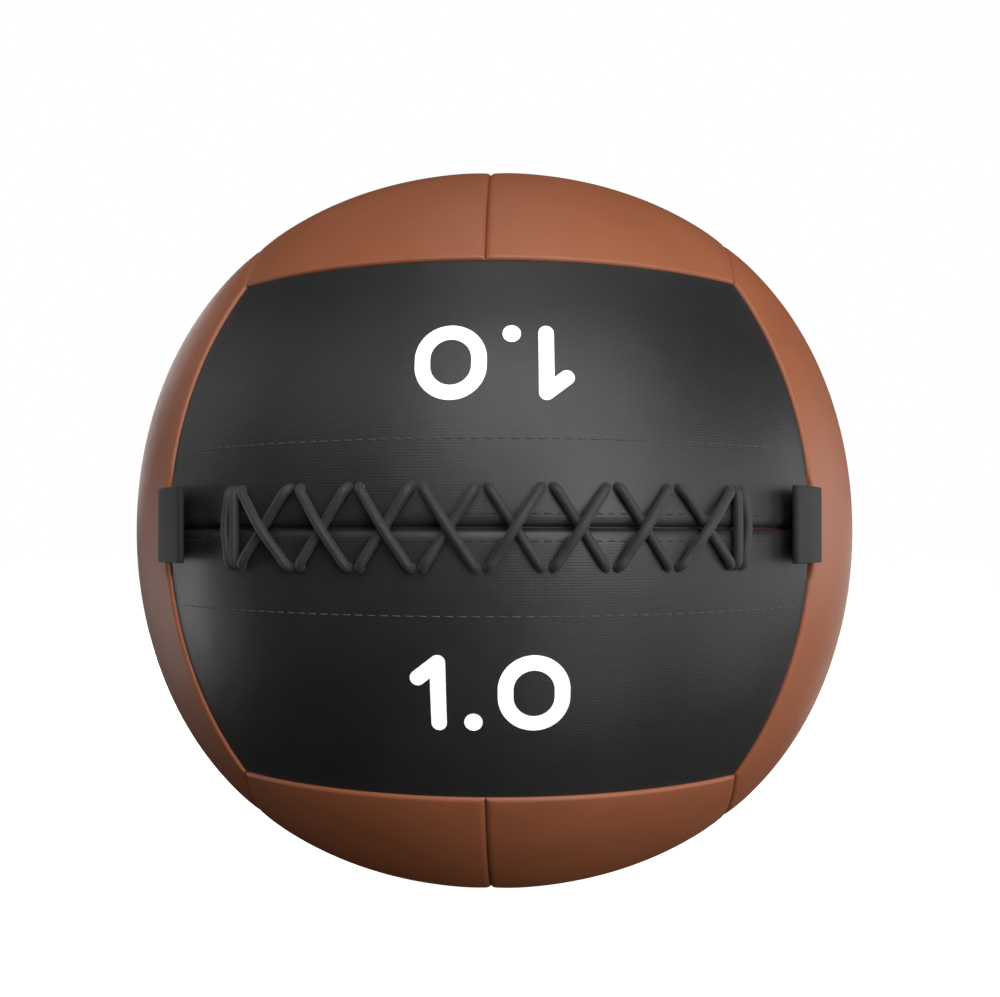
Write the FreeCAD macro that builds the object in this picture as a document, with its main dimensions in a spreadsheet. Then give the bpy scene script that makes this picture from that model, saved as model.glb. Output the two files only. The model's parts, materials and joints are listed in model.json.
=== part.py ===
import FreeCAD, Part
import math
import os
import re

import Sketcher
from FreeCAD import Placement, Rotation, Vector

# A soft medicine ball, in millimetres. The origin is the ball's centre, +Z is up, and the laced black
# face looks along -Y. The cover has the layout of a cube blown up to a ball: six faces, each made of
# two panels. Two crossed laces close a slit across the black face, and a webbing pull tab folds on the
# seam at each end of the slit.

DIMENSIONS = [
    # cover
    ("ball_radius", 175.0, "outer face of the brown panels"),
    ("black_drop", 2.0, "how far the black panels lie below the brown ones"),
    ("skin_thickness", 1.6, "coated fabric of the cover"),
    ("pad_inner_radius", 158.0, "inner face of the foam behind the cover"),
    ("front_seam_fall", 0.052, "fall towards the middle of the seams above and below the black face"),
    ("seam_heading", 46.6, "from the front to the seam at either end of the slit, in degrees"),
    ("side_seam_lean", 0.15, "outward lean of the seams between the top and the side faces"),
    ("slit_gap", 0.8, "opening between the two lips of the slit"),
    ("layer_gap", 0.1, "room between layers that are not bonded"),
    # closure
    ("strip_thickness", 1.4, "facings and closure strip"),
    ("facing_start", 1.5, "near edge of a facing, from the slit"),
    ("facing_height", 31.0, "far edge of a facing, from the slit"),
    ("strip_height", 19.0, "edge of the closure strip, from the slit"),
    ("channel_height", 32.0, "half height of the room for the lacing behind the cover"),
    # lacing
    ("lace_diameter", 3.4, "round cord"),
    ("lace_pitch", 22.1, "between neighbouring columns of holes"),
    ("lace_rise", 13.5, "from the slit to the holes"),
    ("lace_spacing", 3.9, "between two cords that share a hole"),
    ("lace_hole_radius", 2.1, "room for one cord"),
    ("lace_bend", 2.8, "bend where the cord goes through the cover"),
    ("crossing_start", 0.36, "where the raised stretch of a pass starts, as a part of the pass"),
    ("crossing_bend", 14.0, "gentle bend at either end of the raised stretch"),
    ("lace_low_radius", 175.6, "cord axis at the holes, from the ball's centre"),
    ("lace_high_radius", 178.7, "cord axis where it crosses over the other cord"),
    ("falling_inner_radius", 166.4, "cord axis behind the cover, falling lace"),
    ("rising_inner_radius", 162.2, "cord axis behind the cover, rising lace"),
    ("tail_length", 9.5, "from the last hole to the knot"),
    ("knot_radius", 3.0, "end knots"),
    # pull tabs
    ("tab_width", 29.0, "webbing"),
    ("tab_ply", 1.7, "one layer of webbing"),
    ("tab_length", 19.0, "from the fold line at the seam to the centre of the end fold"),
    ("tab_eye_radius", 0.8, "inside of the end fold"),
    ("tab_eye_start", 7.5, "where the two layers part, from the fold line"),
    ("tab_hinge_radius", 177.0, "fold line at the seam, from the ball's centre"),
    ("tab_tilt", 2.3, "tab above the tangent at the seam, in degrees"),
    ("tab_rise", 1.4, "middle of the tab, above the slit"),
    ("tab_root_radius", 166.0, "inner end of the sewn-in webbing"),
    ("tab_clearance", 0.7, "between the sewn-in end and the tab that folds on it"),
    # filling
    ("liner_thickness", 1.0, "inner bag"),
    ("sack_radius", 42.0, "weight bag at the centre"),
    ("sack_thickness", 1.2, "canvas"),
    ("neck_radius", 9.0, "gathered neck of the weight bag"),
    ("neck_height", 16.0, "neck above the weight bag"),
    ("tie_radius", 1.6, "cord round the neck"),
    # weight mark
    ("point_radius", 3.2, "decimal point"),
    ("mark_height", 27.5, "figures, measured straight up"),
    ("mark_stroke", 5.4, "stroke of the figures"),
    ("mark_centre", 57.0, "centre of the figures, from the slit"),
    ("lower_mark_shift", 4.5, "lower figures, right of the middle"),
    ("upper_mark_shift", 1.8, "upper figures, right of the middle"),
    ("mark_thickness", 0.3, "printed film"),
    ("one_stem", -20.0, "upright of the 1, from the middle of the figures"),
    ("flag_width", 7.0, "flag of the 1"),
    ("point_place", -8.0, "decimal point"),
    ("nought_place", 13.0, "centre of the 0"),
    ("nought_width", 25.0, "outer width of the 0"),
    # construction
    ("reach", 210.0, "half size of the cutting solids"),
    ("core", 35.0, "near end of the cutting wedges"),
]
ALIASES = {alias for alias, _, _ in DIMENSIONS}
COLUMNS = range(-4, 5)

doc = FreeCAD.newDocument("medicine_ball")
sheet = doc.addObject("Spreadsheet::Sheet", "Params")
for row, (alias, size, note) in enumerate(DIMENSIONS, start=1):
    sheet.set(f"A{row}", note)
    sheet.set(f"B{row}", str(size))
    sheet.setAlias(f"B{row}", alias)
doc.recompute()


def size_of(alias):
    """The number in the sheet's cell of that name."""
    return float(getattr(sheet, alias))


def bind(item, prop, expression):
    """Drive a property by an expression in the names of the sheet's cells."""
    item.setExpression(prop, re.sub(r"[a-z_]+", lambda word: referred(word[0]), expression))


def referred(word):
    return f"Params.{word}" if word in ALIASES else word


def add(kind, name, bindings=None, **links):
    """Add an object, link it to others and bind its sizes to the sheet."""
    item = doc.addObject(kind, name)
    item.Label = name
    for link, target in links.items():
        setattr(item, link, target)
    for prop, expression in (bindings or {}).items():
        bind(item, prop, expression)
    return item


def cut(name, base, tool):
    return add("Part::Cut", name, Base=base, Tool=tool)


def common(name, base, tool):
    return add("Part::Common", name, Base=base, Tool=tool)


def fuse(name, *shapes):
    return add("Part::MultiFuse", name, Shapes=list(shapes))


def ball(name, radius):
    return add("Part::Sphere", name, {"Radius": radius})


def shell(name, outer, thickness):
    """A round shell, given by its outer radius and its thickness."""
    return cut(name, ball(f"{name}_outer", outer), ball(f"{name}_inner", f"{outer} - {thickness}"))


def box(name, low, high):
    """A box between two corners, each given as three expressions."""
    item = add("Part::Box", name)
    for letter, prop, start, stop in zip("xyz", ("Length", "Width", "Height"), low, high):
        bind(item, prop, f"({stop}) - ({start})")
        bind(item, f".Placement.Base.{letter}", start)
    return item


# ---------------------------------------------------------------- the faces that the seams bound


def seam_distance(slope, at):
    """Distance of a seam's plane from the mid plane: each seam runs through the cube's corners."""
    return f"ball_radius / sqrt(3) * (1 - ({slope})) + ({slope}) * {at}"


def wedge(name, near, far, turn):
    """A wedge that widens along its own -Y axis, from half sizes near to half sizes far."""
    bindings = {"Ymin": "-reach", "Ymax": "-core"}
    for letter, near_size, far_size in zip("XZ", near, far):
        bindings[f"{letter}min"] = f"-({far_size})"
        bindings[f"{letter}max"] = far_size
        bindings[f"{letter}2min"] = f"-({near_size})"
        bindings[f"{letter}2max"] = near_size
    item = add("Part::Wedge", name, bindings)
    item.Placement = Placement(Vector(), turn)
    return item


def end_face(name, turn):
    """The space behind the front or the rear face. Its side seams bow outwards between the corners."""
    fall = "-front_seam_fall"
    bow = "(sin(seam_heading) - 1 / sqrt(3)) / (cos(seam_heading) - 1 / sqrt(3))"
    near, far = ((seam_distance(bow, at), seam_distance(fall, at)) for at in ("core", "reach"))
    return wedge(name, near, far, turn)


def cap_face(name, turn):
    """The space behind the top or the bottom face, before the end faces are taken off it."""
    slope = "side_seam_lean"
    near, far = seam_distance(slope, "core"), seam_distance(slope, "reach")
    return wedge(name, (near, "reach"), (far, "reach"), turn)


def half(name, axis, positive, start="0"):
    """All the space on one side of a mid plane, from a distance off it."""
    low, high = ["-reach"] * 3, ["reach"] * 3
    if positive:
        low[axis] = start
    else:
        high[axis] = f"-({start})"
    return box(name, low, high)


front_face = end_face("front_face", Rotation())
rear_face = end_face("rear_face", Rotation(Vector(0, 0, 1), 180))
end_faces = fuse("end_faces", front_face, rear_face)
top_cap = cap_face("top_cap", Rotation(Vector(1, 0, 0), -90))
bottom_cap = cap_face("bottom_cap", Rotation(Vector(1, 0, 0), 90))
top_face = cut("top_face", top_cap, end_faces)
bottom_face = cut("bottom_face", bottom_cap, end_faces)
all_space = box("all_space", ["-reach"] * 3, ["reach"] * 3)
side_faces = cut("side_faces", all_space, fuse("other_faces", end_faces, top_cap, bottom_cap))

X_AXIS, Y_AXIS, Z_AXIS = range(3)
left = half("left_half", X_AXIS, False)
right = half("right_half", X_AXIS, True)
front = half("front_half", Y_AXIS, False)
rear = half("rear_half", Y_AXIS, True)
lower = half("lower_half", Z_AXIS, False)
upper = half("upper_half", Z_AXIS, True)
above_slit = half("above_slit", Z_AXIS, True, "slit_gap / 2")
below_slit = half("below_slit", Z_AXIS, False, "slit_gap / 2")
above_channel = half("above_channel", Z_AXIS, True, "channel_height")
below_channel = half("below_channel", Z_AXIS, False, "channel_height")

# ---------------------------------------------------------------- lacing

PAIR = size_of("lace_spacing") / 2
RISE = size_of("lace_rise")
LOW = size_of("lace_low_radius")
HIGH = size_of("lace_high_radius")
BEND = size_of("lace_bend")


def column(number):
    return number * size_of("lace_pitch")


def lace_point(x, z, radius):
    """The point at a radius under the place on the front where a cord lies at x and z."""
    return Vector(x, -math.sqrt(LOW**2 - x**2 - z**2), z) * (radius / LOW)


def outer_pass(start, stop, raised):
    """Points of one pass over the slit, each with the radius of its bend."""
    points = [(lace_point(*start, LOW), BEND)]
    if raised:
        crossing = size_of("crossing_start")
        for share in (crossing, 1 - crossing):
            x, z = (a + (b - a) * share for a, b in zip(start, stop))
            points.append((lace_point(x, z, HIGH), size_of("crossing_bend")))
    return points + [(lace_point(*stop, LOW), BEND)]


def inner_pass(start, stop, radius):
    return [(lace_point(*start, radius), BEND), (lace_point(*stop, radius), BEND)]


def lace_points(side, radius, bar):
    """The whole route of one lace, from knot to knot.

    Every pass over the slit goes from the row of holes at -side to the row at +side. The lace makes an
    upright bar at each end, and between them one slanting pass for each pair of columns, with a hidden
    pass behind the cover after each.
    """
    first, last = column(COLUMNS[0]) - bar, column(COLUMNS[-1]) + bar
    near, far = -side * RISE, side * RISE
    tail = side * size_of("tail_length")
    points = [(lace_point(first, near - tail, radius), 0), (lace_point(first, near, radius), BEND)]
    points += outer_pass((first, near), (first, far), False)
    here = (first, far)
    for number in COLUMNS[:-1]:
        start = (column(number) + PAIR, near)
        stop = (column(number + 1) - PAIR, far)
        raised = (number < 0) == (side < 0)
        points += inner_pass(here, start, radius) + outer_pass(start, stop, raised)
        here = stop
    points += inner_pass(here, (last, near), radius)
    points += outer_pass((last, near), (last, far), False)
    points += [(lace_point(last, far, radius), BEND), (lace_point(last, far + tail, radius), 0)]
    return points


def rounded_wire(points):
    """Straight runs through the points, joined by tangent arcs of each point's own radius."""
    edges = []
    here = points[0][0]
    for (before, _), (corner, radius), (after, _) in zip(points, points[1:], points[2:]):
        back, ahead = before - corner, after - corner
        half_turn = (math.pi - back.getAngle(ahead)) / 2
        reach = radius * math.tan(half_turn)
        back.normalize()
        ahead.normalize()
        start, stop = corner + back * reach, corner + ahead * reach
        middle = corner + (back + ahead).normalize() * (radius / math.cos(half_turn) - radius)
        edges.append(Part.LineSegment(here, start).toShape())
        edges.append(Part.Arc(start, middle, stop).toShape())
        here = stop
    edges.append(Part.LineSegment(here, points[-1][0]).toShape())
    return Part.Wire(edges)


def lace(name, side, inner_radius, bar):
    """A cord swept along its route, as one solid."""
    points = lace_points(side, size_of(inner_radius), bar)
    route = rounded_wire(points)
    radius = size_of("lace_diameter") / 2
    profile = Part.Wire(Part.makeCircle(radius, points[0][0], points[1][0] - points[0][0]))
    item = add("Part::Feature", name)
    item.Shape = route.makePipeShell([profile], True, False)
    share = item.Shape.Volume / (math.pi * radius**2 * route.Length)
    print(f"{name}: {route.Length:.1f} mm long, {share:.4f} of its section times its length")
    return item


def knots(name, edge, rows, laces):
    """Two knots on the cord ends at one end of the slit, one for each lace."""
    solids = []
    tail_end = RISE + size_of("tail_length")
    for (cord, inner_radius, bar), row in zip(laces, rows):
        x = edge + math.copysign(bar, edge)
        knot = ball(f"{name}_{cord.Name}", "knot_radius")
        knot.Placement = Placement(lace_point(x, row * tail_end, size_of(inner_radius)), Rotation())
        solids.append(knot)
    cords = fuse(f"{name}_cords", *(cord for cord, _, _ in laces))
    return cut(name, fuse(f"{name}_balls", *solids), cords)


INNER_BAR, OUTER_BAR = PAIR, 3 * PAIR
falling_lace = lace("falling_lace", -1, "falling_inner_radius", INNER_BAR)
rising_lace = lace("rising_lace", 1, "rising_inner_radius", OUTER_BAR)
LACES = [
    (falling_lace, "falling_inner_radius", INNER_BAR),
    (rising_lace, "rising_inner_radius", OUTER_BAR),
]
nodes = [
    falling_lace,
    rising_lace,
    knots("left_lace_knots", column(COLUMNS[0]), (1, -1), LACES),
    knots("right_lace_knots", column(COLUMNS[-1]), (-1, 1), LACES),
]


def lace_holes(name, row):
    """Holes straight through the cover for one row of the lacing."""
    across = [column(number) + step for number in COLUMNS for step in (-PAIR, PAIR)]
    across += [column(COLUMNS[0]) - OUTER_BAR, column(COLUMNS[-1]) + OUTER_BAR]
    holes = []
    for number, x in enumerate(sorted(across)):
        sizes = {"Radius": "lace_hole_radius", "Height": "reach - pad_inner_radius"}
        hole = add("Part::Cylinder", f"{name}_{number}", sizes)
        start = lace_point(x, row * RISE, size_of("pad_inner_radius"))
        hole.Placement = Placement(start, Rotation(Vector(0, 0, 1), start))
        holes.append(hole)
    return fuse(name, *holes)


# ---------------------------------------------------------------- pull tabs


def seam_direction(side):
    """From the ball's centre to the seam at the left (-1) or right (+1) end of the slit."""
    angle = math.radians(size_of("seam_heading"))
    return Vector(side * math.sin(angle), -math.cos(angle), 0)


def tab_root(name, side, thickness, width):
    """A flat block in the seam, where the two layers of webbing are sewn in."""
    top = "tab_hinge_radius - tab_ply - tab_clearance"
    bindings = {"Length": f"{top} - tab_root_radius", "Width": thickness, "Height": width}
    item = add("Part::Box", name, bindings)
    direction = seam_direction(side)
    turn = Rotation(Vector(1, 0, 0), direction)
    doc.recompute()
    foot = size_of("tab_rise") - item.Height.Value / 2
    corner = Vector(size_of("tab_root_radius"), -item.Width.Value / 2, foot)
    item.Placement = Placement(turn.multVec(corner), turn)
    return item


def constrain(sketch, expression, *constraint):
    number = sketch.addConstraint(Sketcher.Constraint(*constraint))
    bind(sketch, f"Constraints[{number}]", expression)


def tab_sketch(body):
    """The tab from its edge: two layers round an end fold, with a slim eye between them.

    The fold line at the seam is the sketch's origin, and the tab runs along +X.
    """
    START, STOP, CENTRE = 1, 2, 3
    ORIGIN = -1
    root, length = size_of("tab_ply"), size_of("tab_length")
    eye, eye_start = size_of("tab_eye_radius"), size_of("tab_eye_start")
    end = root + eye
    sketch = body.newObject("Sketcher::SketchObject", f"{body.Name}_edge")
    plane = next(item for item in body.Origin.OriginFeatures if item.Role == "XY_Plane")
    sketch.AttachmentSupport = (plane, [""])
    sketch.MapMode = "FlatFace"
    fold = Vector(length, 0, 0)
    lean = math.asin((end - root) / length)
    normal = Vector(-math.sin(lean), math.cos(lean), 0)
    mirrored = Vector(normal.x, -normal.y, 0)
    eye_lean = math.asin(eye / (length - eye_start))
    eye_normal = Vector(-math.sin(eye_lean), math.cos(eye_lean), 0)
    eye_mirrored = Vector(eye_normal.x, -eye_normal.y, 0)
    eye_tip = Vector(eye_start, 0, 0)
    open_angle = math.pi / 2 + lean
    eye_angle = math.pi / 2 + eye_lean
    circle = Part.Circle
    axis = Vector(0, 0, 1)
    outline = [
        Part.ArcOfCircle(circle(Vector(), axis, root), open_angle, 2 * math.pi - open_angle),
        Part.LineSegment(mirrored * root, fold + mirrored * end),
        Part.ArcOfCircle(circle(fold, axis, end), -open_angle, open_angle),
        Part.LineSegment(fold + normal * end, normal * root),
        Part.LineSegment(eye_tip, fold + eye_mirrored * eye),
        Part.ArcOfCircle(circle(fold, axis, eye), -eye_angle, eye_angle),
        Part.LineSegment(fold + eye_normal * eye, eye_tip),
    ]
    back, under, end_arc, over, eye_under, eye_arc, eye_over = sketch.addGeometry(outline, False)
    joins = [
        (back, STOP, under, START),
        (under, STOP, end_arc, START),
        (end_arc, STOP, over, START),
        (over, STOP, back, START),
        (eye_under, STOP, eye_arc, START),
        (eye_arc, STOP, eye_over, START),
    ]
    for join in joins:
        sketch.addConstraint(Sketcher.Constraint("Tangent", *join))
    sketch.addConstraint(Sketcher.Constraint("Coincident", eye_over, STOP, eye_under, START))
    sketch.addConstraint(Sketcher.Constraint("Coincident", back, CENTRE, ORIGIN, START))
    sketch.addConstraint(Sketcher.Constraint("Coincident", eye_arc, CENTRE, end_arc, CENTRE))
    sketch.addConstraint(Sketcher.Constraint("PointOnObject", end_arc, CENTRE, ORIGIN))
    sketch.addConstraint(Sketcher.Constraint("PointOnObject", eye_under, START, ORIGIN))
    constrain(sketch, "tab_ply", "Radius", back, root)
    constrain(sketch, "tab_ply + tab_eye_radius", "Radius", end_arc, end)
    constrain(sketch, "tab_eye_radius", "Radius", eye_arc, eye)
    constrain(sketch, "tab_length", "DistanceX", ORIGIN, START, end_arc, CENTRE, length)
    constrain(sketch, "tab_eye_start", "DistanceX", ORIGIN, START, eye_under, START, eye_start)
    return sketch


def pull_tab(name, side):
    """A folded strap that stands on the seam and leans towards the lacing."""
    body = add("PartDesign::Body", name)
    sketch = tab_sketch(body)
    pad = body.newObject("PartDesign::Pad", f"{name}_pad")
    pad.Profile = sketch
    pad.SideType = "Symmetric"
    bind(pad, "Length", "tab_width")
    sketch.Visibility = False
    outward = seam_direction(side)
    heading = math.degrees(math.atan2(outward.y, outward.x)) - side * (90 - size_of("tab_tilt"))
    fold_line = outward * size_of("tab_hinge_radius") + Vector(0, 0, size_of("tab_rise"))
    body.Placement = Placement(fold_line, Rotation(Vector(0, 0, 1), heading))
    return body


SIDES = [("left", -1), ("right", 1)]
slots = []
for word, side in SIDES:
    nodes.append(pull_tab(f"{word}_pull_tab", side))
    nodes.append(tab_root(f"{word}_tab_root", side, "2 * tab_ply", "tab_width"))
    slot_size = ("2 * (tab_ply + layer_gap)", "tab_width + 2 * layer_gap")
    slots.append(tab_root(f"{word}_slot", side, *slot_size))
tab_slots = fuse("tab_slots", *slots)
upper_holes, lower_holes = lace_holes("upper_holes", 1), lace_holes("lower_holes", -1)
upper_cuts = fuse("upper_cuts", upper_holes, tab_slots)
lower_cuts = fuse("lower_cuts", lower_holes, tab_slots)
strip_cuts = fuse("strip_cuts", upper_holes, lower_holes, tab_slots)

# ---------------------------------------------------------------- cover

BLACK = "ball_radius - black_drop"
BROWN = "ball_radius"
SKINS, FOAMS = {}, {}
for word, colour in (("black", BLACK), ("brown", BROWN)):
    foam_outer = f"{colour} - skin_thickness"
    SKINS[colour] = shell(f"{word}_skin", colour, "skin_thickness")
    FOAMS[colour] = shell(f"{word}_foam", foam_outer, f"({foam_outer} - pad_inner_radius)")

# name: outer radius, face, half of the face for the panel, half of the face for its pad, cuts
PANELS = {
    "front_upper": (BLACK, front_face, above_slit, above_channel, upper_cuts),
    "front_lower": (BLACK, front_face, below_slit, below_channel, lower_cuts),
    "rear_upper": (BLACK, rear_face, upper, upper, None),
    "rear_lower": (BLACK, rear_face, lower, lower, None),
    "top_left": (BROWN, top_face, left, left, None),
    "top_right": (BROWN, top_face, right, right, None),
    "bottom_left": (BROWN, bottom_face, left, left, None),
    "bottom_right": (BROWN, bottom_face, right, right, None),
    "left_front": (BROWN, side_faces, common("left_front_quarter", left, front), None, tab_slots),
    "left_rear": (BROWN, side_faces, common("left_rear_quarter", left, rear), None, None),
    "right_front": (BROWN, side_faces, common("right_front_quarter", right, front), None, tab_slots),
    "right_rear": (BROWN, side_faces, common("right_rear_quarter", right, rear), None, None),
}


def cover_piece(name, layer, face, part_of_face, cuts):
    """The part of a round layer that lies in part of a face, with holes and slots cut out of it."""
    cell = common(f"{name}_cell", face, part_of_face)
    if cuts is None:
        return common(name, layer, cell)
    return cut(name, common(f"{name}_whole", layer, cell), cuts)


for name, (colour, face, panel_half, pad_half, cuts) in PANELS.items():
    nodes.append(cover_piece(f"{name}_panel", SKINS[colour], face, panel_half, cuts))
    nodes.append(cover_piece(f"{name}_pad", FOAMS[colour], face, pad_half or panel_half, cuts))

# ---------------------------------------------------------------- closure behind the slit

FACING_OUTER = f"{BLACK} - skin_thickness"
facing_layer = shell("facing_layer", FACING_OUTER, "strip_thickness")
strip_layer = shell("strip_layer", f"{FACING_OUTER} - strip_thickness", "strip_thickness")
above_band = box("above_band", ("-reach", "-reach", "facing_start"), ("reach", "0", "facing_height"))
below_band = box("below_band", ("-reach", "-reach", "-facing_height"), ("reach", "0", "-facing_start"))
strip_band = box("strip_band", ("-reach", "-reach", "-strip_height"), ("reach", "0", "strip_height"))
nodes += [
    cover_piece("upper_facing", facing_layer, front_face, above_band, upper_cuts),
    cover_piece("lower_facing", facing_layer, front_face, below_band, lower_cuts),
    cover_piece("closure_strip", strip_layer, front_face, strip_band, strip_cuts),
]

# ---------------------------------------------------------------- filling

LINER = "pad_inner_radius - layer_gap"
FILL = f"{LINER} - liner_thickness - layer_gap"
NECK_TOP = "sack_radius + neck_height"


def upright(name, radius, top):
    return add("Part::Cylinder", name, {"Radius": radius, "Height": top})


liner_bag = shell("liner_bag", LINER, "liner_thickness")
sack_room = fuse(
    "sack_room",
    ball("sack_ball_room", "sack_radius + layer_gap"),
    upright("neck_room", "neck_radius + tie_radius + layer_gap", f"{NECK_TOP} + layer_gap"),
)
fibre_fill = cut("fibre_fill", ball("fill_ball", FILL), sack_room)
ballast_tie = add("Part::Torus", "ballast_tie", {"Radius1": "neck_radius", "Radius2": "tie_radius"})
bind(ballast_tie, ".Placement.Base.z", "sack_radius + neck_height / 2")
neck = upright("neck", "neck_radius", NECK_TOP)
sack_outside = fuse("sack_outside", ball("sack_ball", "sack_radius"), neck)
sack_hollow = fuse("sack_hollow", ball("sack_inside", "sack_radius - sack_thickness"), ballast_tie)
ballast_sack = cut("ballast_sack", sack_outside, sack_hollow)
ballast_granules = ball("ballast_granules", "sack_radius - sack_thickness - layer_gap")
nodes += [liner_bag, fibre_fill, ballast_sack, ballast_tie, ballast_granules]

# ---------------------------------------------------------------- weight marks


def stroke(start, stop):
    """A straight stroke with round ends."""
    width, depth = size_of("mark_stroke"), size_of("reach")
    along = stop - start
    bar = Part.makeBox(along.Length, width, depth, Vector(0, -width / 2, 0))
    bar.Placement = Placement(start, Rotation(Vector(1, 0, 0), along))
    ends = [Part.makeCylinder(width / 2, depth, point) for point in (start, stop)]
    return bar.multiFuse(ends)


def tablet(centre, radius, straight):
    """A round-ended block, whose straight sides run up and down."""
    depth = size_of("reach")
    block = Part.makeBox(2 * radius, straight, depth, centre - Vector(radius, straight / 2, 0))
    step = Vector(0, straight / 2, 0)
    ends = [Part.makeCylinder(radius, depth, centre + offset) for offset in (-step, step)]
    return block.multiFuse(ends)


def nought(centre):
    radius = size_of("nought_width") / 2
    straight = size_of("mark_height") - 2 * radius
    return tablet(centre, radius, straight).cut(tablet(centre, radius - size_of("mark_stroke"), straight))


def figures():
    """The number 1.0, for kilograms, in plain strokes, flat on XY and raised along +Z."""
    top = (size_of("mark_height") - size_of("mark_stroke")) / 2
    one, flag = size_of("one_stem"), size_of("flag_width")
    foot = Vector(size_of("point_place"), size_of("point_radius") - size_of("mark_height") / 2, 0)
    strokes = [
        stroke(Vector(one, -top, 0), Vector(one, top, 0)),
        stroke(Vector(one - flag, top / 2, 0), Vector(one, top, 0)),
        Part.makeCylinder(size_of("point_radius"), size_of("reach"), foot),
        nought(Vector(size_of("nought_place"), 0, 0)),
    ]
    return strokes[0].multiFuse(strokes[1:])


film_outside = ball("film_outside", f"{BLACK} + mark_thickness")
film_inside = ball("film_inside", BLACK)
upright_front = Rotation(Vector(1, 0, 0), 90)
MARKS = [("upper", "upper_mark_shift", 1, 180), ("lower", "lower_mark_shift", -1, 0)]
for name, shift, height, turn in MARKS:
    standing = add("Part::Feature", f"{name}_figures")
    standing.Shape = figures()
    place = Vector(size_of(shift), 0, height * size_of("mark_centre"))
    standing.Placement = Placement(place, Rotation(Vector(0, 1, 0), turn) * upright_front)
    nodes.append(cut(f"{name}_weight_mark", common(f"{name}_film", standing, film_outside), film_inside))

# ---------------------------------------------------------------- check and write

doc.recompute()
for item in doc.Objects:
    if {"Invalid", "Error"} & set(item.State):
        raise RuntimeError(f"{item.Name} failed: {item.State}")
for node in nodes:
    if node.Shape.isNull() or not node.Shape.isValid() or node.Shape.Volume <= 0:
        raise RuntimeError(f"{node.Name} has no valid shape")

os.makedirs("parts", exist_ok=True)
for node in nodes:
    node.Shape.exportStep(f"parts/{node.Label}.step")
print(f"{len(nodes)} parts written")
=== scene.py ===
import json
import math

import bpy
import numpy as np
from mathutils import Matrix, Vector


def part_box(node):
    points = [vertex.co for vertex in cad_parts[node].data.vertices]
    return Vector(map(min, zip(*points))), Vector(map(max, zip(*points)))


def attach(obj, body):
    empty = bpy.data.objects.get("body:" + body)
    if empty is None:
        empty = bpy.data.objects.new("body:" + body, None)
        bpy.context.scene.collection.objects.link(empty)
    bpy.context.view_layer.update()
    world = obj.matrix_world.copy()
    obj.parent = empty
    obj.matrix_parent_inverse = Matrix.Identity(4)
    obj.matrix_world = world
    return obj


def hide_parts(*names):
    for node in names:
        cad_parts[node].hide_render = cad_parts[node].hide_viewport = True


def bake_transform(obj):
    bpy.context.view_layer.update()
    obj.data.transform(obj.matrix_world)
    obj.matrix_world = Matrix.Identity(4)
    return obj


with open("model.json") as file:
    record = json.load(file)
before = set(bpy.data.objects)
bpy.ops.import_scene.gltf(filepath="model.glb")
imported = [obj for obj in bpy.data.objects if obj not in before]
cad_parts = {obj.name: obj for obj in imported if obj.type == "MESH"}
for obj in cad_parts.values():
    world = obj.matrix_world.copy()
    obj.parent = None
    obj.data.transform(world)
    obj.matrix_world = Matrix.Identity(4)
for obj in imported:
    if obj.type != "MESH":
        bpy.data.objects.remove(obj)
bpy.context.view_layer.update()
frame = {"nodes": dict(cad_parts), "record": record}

# A soft medicine ball: padded cover panels, two crossed laces over a slit, webbing pull tabs and marks.
# Places are in metres in the frame of the CAD model, whose origin is the ball's centre. The laced black
# face looks along -Y. An azimuth is counted from -Y towards +X.

MM = 0.001

# ---------------------------------------------------------------- sizes

BROWN = round(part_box("top_left_panel")[1].z, 5)  # outer radius of the brown panels
BLACK = round(-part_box("front_upper_panel")[0].y, 4)  # outer radius of the black panels
PAD_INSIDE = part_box("liner_bag")[1].z + 0.1 * MM  # inner radius of the padding
SKIN = 1.6 * MM  # coated fabric of the cover
CHANNEL = 32 * MM  # half height of the unpadded band behind the lacing
SEAM_FALL = 0.038  # fall of the level seams towards the middle of the black faces
SEAM_LEAN = 0.15  # outward lean of the seams between the top and the sides
SEAM_HEADING = math.radians(46.6)  # azimuth of the seams at the ends of the slit
SLIT = 0.25 * MM  # from the middle of the slit to either lip
SQUARENESS = 0.036  # bulge of the ball between its top and its sides, as a part of its radius
BULGE_TAPER = 2.4  # how fast the bulge fades towards the black faces

SEAM_GAP = 0.01 * MM  # from the seam line to a panel's edge
BROWN_LIP = (1.3 * MM, 1.2 * MM)  # width and depth of the edge of a brown panel beside a black one
SEWN_LIP = (2.4 * MM, 1.35 * MM)  # the same between two panels of one colour
BLACK_LIP = (0.5 * MM, 0.35 * MM)
SLIT_LIP = (4.0 * MM, 2.7 * MM)
BROWN_CROWN = (16 * MM, 0.4 * MM)  # width and depth of the soft fall towards every seam
BLACK_CROWN = (16 * MM, -0.45 * MM)  # black panels are pulled up to the seams
EDGE_ROWS = np.array([0, 0.15, 0.4, 0.75, 1.2, 1.8, 2.6, 3.6, 5.5, 8.5, 12.5]) * MM
ROW_SPACING = 4.5 * MM

TAB_WIDTH = 29 * MM
TAB_PLY = 1.2 * MM
TAB_HINGE = 177 * MM  # radius of the fold line at the seam
TAB_RISE = 1.4 * MM  # middle of the tab above the slit
TAB_LENGTH = 21.2 * MM  # from the fold line to the centre of the end fold
TAB_EYE = 0.2 * MM  # inner radius of the end fold
TAB_DOME = 0.6 * MM  # rise of the upper layer between its bends
TAB_TILT = math.radians(2.3)  # outward lean of the tab from the tangent at the fold line
TAB_ROOT = 166 * MM  # radius of the sewn-in end
TAB_EDGE = 0.5 * MM  # radius of the strap's edges
PLY_GAP = 0.06 * MM  # between the strap's two layers in the seam

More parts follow.
